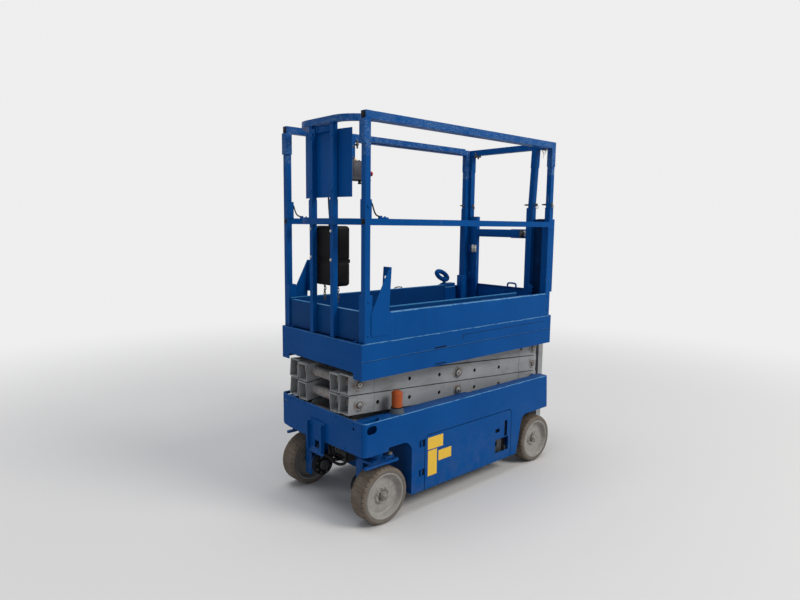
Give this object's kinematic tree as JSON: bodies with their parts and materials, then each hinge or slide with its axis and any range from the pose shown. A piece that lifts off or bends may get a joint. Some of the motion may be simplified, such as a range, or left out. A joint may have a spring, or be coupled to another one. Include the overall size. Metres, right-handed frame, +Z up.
{
  "type": "electric slab scissor lift with sliding deck extension",
  "caption": "Slab scissor work platform on solid tyres with stacked crossed arms, guard rails, sliding front deck, rear gate and swing-out side trays.",
  "frame": {"origin": "on the floor under the middle of the machine's box", "axes": "+X to the steered end, +Y to the left side, +Z up"},
  "size_m": [1.789, 0.78, 2.095],
  "materials": {
    "blue_paint": "semi-gloss",
    "grey_arms": "satin",
    "steel": "satin",
    "tyre": "matte",
    "rim": "satin",
    "amber": "glossy",
    "black_plastic": "matte",
    "grey_plastic": "matte",
    "dark_parts": "satin"
  },
  "bodies": {
    "chassis": {"chassis_side_left": "blue_paint", "chassis_side_right": "blue_paint", "chassis_front": "blue_paint", "tow_bracket": "blue_paint", "chassis_spine": "blue_paint", "cross_walls": "blue_paint", "scissor_well": "blue_paint", "well_side_left": "blue_paint", "well_side_right": "blue_paint", "chassis_rear": "blue_paint", "front_axle": "dark_parts", "rear_axle": "dark_parts", "ladder": "grey_arms", "beacon_base": "grey_plastic", "beacon_lens": "amber"},
    "tray_left": {"tray_door_left": "blue_paint", "tray_pan_left": "blue_paint", "tray_load_left": "dark_parts"},
    "tray_right": {"tray_door_right": "blue_paint", "tray_pan_right": "blue_paint", "tray_load_right": "dark_parts"},
    "steer_left": {"knuckle_left": "blue_paint"},
    "steer_right": {"knuckle_right": "blue_paint"},
    "steer_link": {"tie_bar": "steel"},
    "wheel_front_left": {"tyre_front_left": "tyre", "rim_front_left": "rim"},
    "wheel_front_right": {"tyre_front_right": "tyre", "rim_front_right": "rim"},
    "wheel_rear_left": {"tyre_rear_left": "tyre", "rim_rear_left": "rim"},
    "wheel_rear_right": {"tyre_rear_right": "tyre", "rim_rear_right": "rim"},
    "outer_arm_1": {"arm_outer_1": "grey_arms"},
    "inner_arm_1": {"arm_inner_1": "grey_arms"},
    "outer_arm_2": {"arm_outer_2": "grey_arms"},
    "inner_arm_2": {"arm_inner_2": "grey_arms"},
    "outer_arm_3": {"arm_outer_3": "grey_arms"},
    "inner_arm_3": {"arm_inner_3": "grey_arms"},
    "cylinder_barrel": {"lift_barrel": "dark_parts"},
    "cylinder_rod": {"lift_rod": "steel"},
    "platform": {"platform_skirt": "blue_paint", "platform_deck": "blue_paint", "toe_panel_left": "blue_paint", "toe_panel_right": "blue_paint", "corner_posts": "blue_paint", "side_rails_top": "blue_paint", "side_rails_middle": "blue_paint", "rear_frame": "blue_paint", "blades": "blue_paint"},
    "gate": {"gate": "blue_paint"},
    "sliding_deck": {"extension_deck": "blue_paint", "extension_posts": "blue_paint", "extension_rail_top": "blue_paint", "extension_rail_middle": "blue_paint", "control_shield": "blue_paint", "manual_box": "black_plastic", "control_box": "grey_plastic", "box_hanger": "blue_paint"}
  },
  "joints": [
    {"name": "lift", "type": "hinge", "parent": "chassis", "child": "outer_arm_1", "pos_m": [-0.6845, 0, 0.53], "axis": [0, -1, 0], "range_deg": [0, 56]},
    {"name": "lift_inner_1", "type": "hinge", "parent": "outer_arm_1", "child": "inner_arm_1", "pos_m": [0.06363, 0, 0.583], "axis": [0, -1, 0], "range_deg": [-114, 1]},
    {"name": "lift_outer_2", "type": "hinge", "parent": "inner_arm_1", "child": "outer_arm_2", "pos_m": [-0.6845, 0, 0.636], "axis": [0, -1, 0], "range_deg": [-1, 114]},
    {"name": "lift_inner_2", "type": "hinge", "parent": "outer_arm_2", "child": "inner_arm_2", "pos_m": [0.06363, 0, 0.689], "axis": [0, -1, 0], "range_deg": [-114, 1]},
    {"name": "lift_outer_3", "type": "hinge", "parent": "inner_arm_2", "child": "outer_arm_3", "pos_m": [-0.6845, 0, 0.742], "axis": [0, -1, 0], "range_deg": [-1, 114]},
    {"name": "lift_inner_3", "type": "hinge", "parent": "outer_arm_3", "child": "inner_arm_3", "pos_m": [0.06363, 0, 0.795], "axis": [0, -1, 0], "range_deg": [-114, 1]},
    {"name": "lift_platform", "type": "hinge", "parent": "inner_arm_3", "child": "platform", "pos_m": [-0.6845, 0, 0.848], "axis": [0, -1, 0], "range_deg": [-1, 58]},
    {"name": "cylinder_tilt", "type": "hinge", "parent": "inner_arm_1", "child": "cylinder_barrel", "pos_m": [-0.6845, 0, 0.636], "axis": [0, -1, 0], "range_deg": [-1, 121]},
    {"name": "cylinder_stroke", "type": "slide", "parent": "cylinder_barrel", "child": "cylinder_rod", "axis": [0.9944, 0, 0.1057], "range_m": [-0.005, 0.477]},
    {"name": "deck_slide", "type": "slide", "parent": "platform", "child": "sliding_deck", "axis": [1, 0, 0], "range_m": [0, 0.82]},
    {"name": "gate_swing", "type": "hinge", "parent": "platform", "child": "gate", "pos_m": [-0.6785, -0.311, 1.3], "axis": [0, 0, -1], "range_deg": [0, 90]},
    {"name": "tray_left_swing", "type": "hinge", "parent": "chassis", "child": "tray_left", "pos_m": [0.4605, 0.38, 0.25], "axis": [0, 0, -1], "range_deg": [0, 90]},
    {"name": "tray_right_swing", "type": "hinge", "parent": "chassis", "child": "tray_right", "pos_m": [0.4605, -0.38, 0.25], "axis": [0, 0, 1], "range_deg": [0, 90]},
    {"name": "steer_left_turn", "type": "hinge", "parent": "chassis", "child": "steer_left", "pos_m": [0.7205, 0.3, 0.35], "axis": [0, 0, 1], "range_deg": [-60, 60]},
    {"name": "steer_right_turn", "type": "hinge", "parent": "chassis", "child": "steer_right", "pos_m": [0.7205, -0.3, 0.35], "axis": [0, 0, 1], "range_deg": [-62, 62]},
    {"name": "steer_link_turn", "type": "hinge", "parent": "steer_left", "child": "steer_link", "pos_m": [0.6205, 0.3, 0.338], "axis": [0, 0, 1], "range_deg": [-62, 62]},
    {"name": "wheel_front_left_spin", "type": "hinge", "parent": "steer_left", "child": "wheel_front_left", "pos_m": [0.7205, 0.333, 0.1525], "axis": [0, 1, 0], "continuous": true},
    {"name": "wheel_rear_left_spin", "type": "hinge", "parent": "chassis", "child": "wheel_rear_left", "pos_m": [-0.5995, 0.333, 0.1525], "axis": [0, 1, 0], "continuous": true},
    {"name": "wheel_front_right_spin", "type": "hinge", "parent": "steer_right", "child": "wheel_front_right", "pos_m": [0.7205, -0.333, 0.1525], "axis": [0, 1, 0], "continuous": true},
    {"name": "wheel_rear_right_spin", "type": "hinge", "parent": "chassis", "child": "wheel_rear_right", "pos_m": [-0.5995, -0.333, 0.1525], "axis": [0, 1, 0], "continuous": true}
  ],
  "couplings": [
    {"joint": "lift_inner_1", "follows": "lift", "ratio": -2},
    {"joint": "lift_outer_2", "follows": "lift", "ratio": 2},
    {"joint": "lift_inner_2", "follows": "lift", "ratio": -2},
    {"joint": "lift_outer_3", "follows": "lift", "ratio": 2},
    {"joint": "lift_inner_3", "follows": "lift", "ratio": -2},
    {"joint": "lift_platform", "follows": "lift", "ratio": 1},
    {"joint": "cylinder_tilt", "follows": "lift", "ratio": 2.1236},
    {"joint": "cylinder_stroke", "follows": "lift", "m_per_rad": 0.47782},
    {"joint": "steer_right_turn", "follows": "steer_left_turn", "ratio": 1},
    {"joint": "steer_link_turn", "follows": "steer_left_turn", "ratio": -1}
  ]
}
